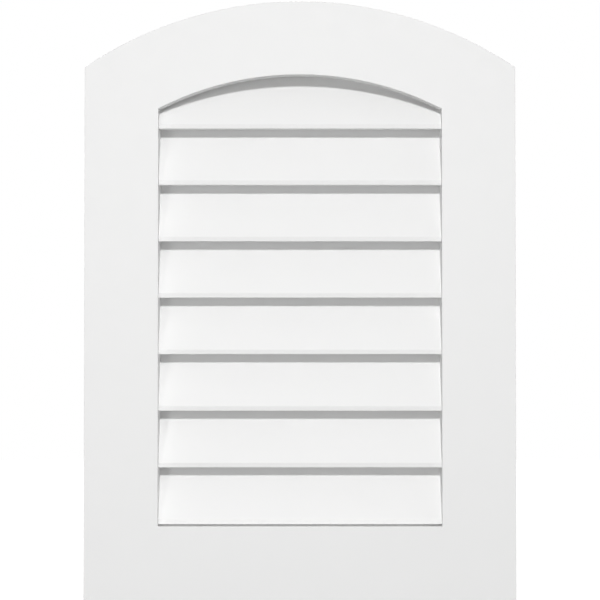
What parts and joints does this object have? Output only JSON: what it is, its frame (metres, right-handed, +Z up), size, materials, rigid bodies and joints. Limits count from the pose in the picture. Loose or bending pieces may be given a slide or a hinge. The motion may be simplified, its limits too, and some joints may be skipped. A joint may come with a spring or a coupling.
{
  "type": "gable vent",
  "caption": "Arch-top gable vent: a flat trim frame round fixed slanted louvres, with a box and insect screen behind for the wall opening.",
  "frame": {"origin": "middle of the trim frame's bottom edge, on the plane of its back, which is the wall's face", "axes": "+X to the right seen from the front, +Y into the wall, +Z up; the front looks towards -Y"},
  "size_m": [0.5206, 0.063, 0.7238],
  "materials": {
    "white_pvc": "satin",
    "louvre_pvc": "satin",
    "screen_mesh": "galvanised",
    "steel": "galvanised"
  },
  "bodies": {
    "root": {"front_frame": "white_pvc", "left_jamb": "white_pvc", "right_jamb": "white_pvc", "sill_board": "white_pvc", "head_board": "white_pvc", "louvre_1": "louvre_pvc", "louvre_2": "louvre_pvc", "louvre_3": "louvre_pvc", "louvre_4": "louvre_pvc", "louvre_5": "louvre_pvc", "louvre_6": "louvre_pvc", "louvre_7": "louvre_pvc", "louvre_8": "louvre_pvc", "insect_screen": "screen_mesh", "screen_staples": "steel", "corner_staples": "steel"}
  },
  "joints": []
}
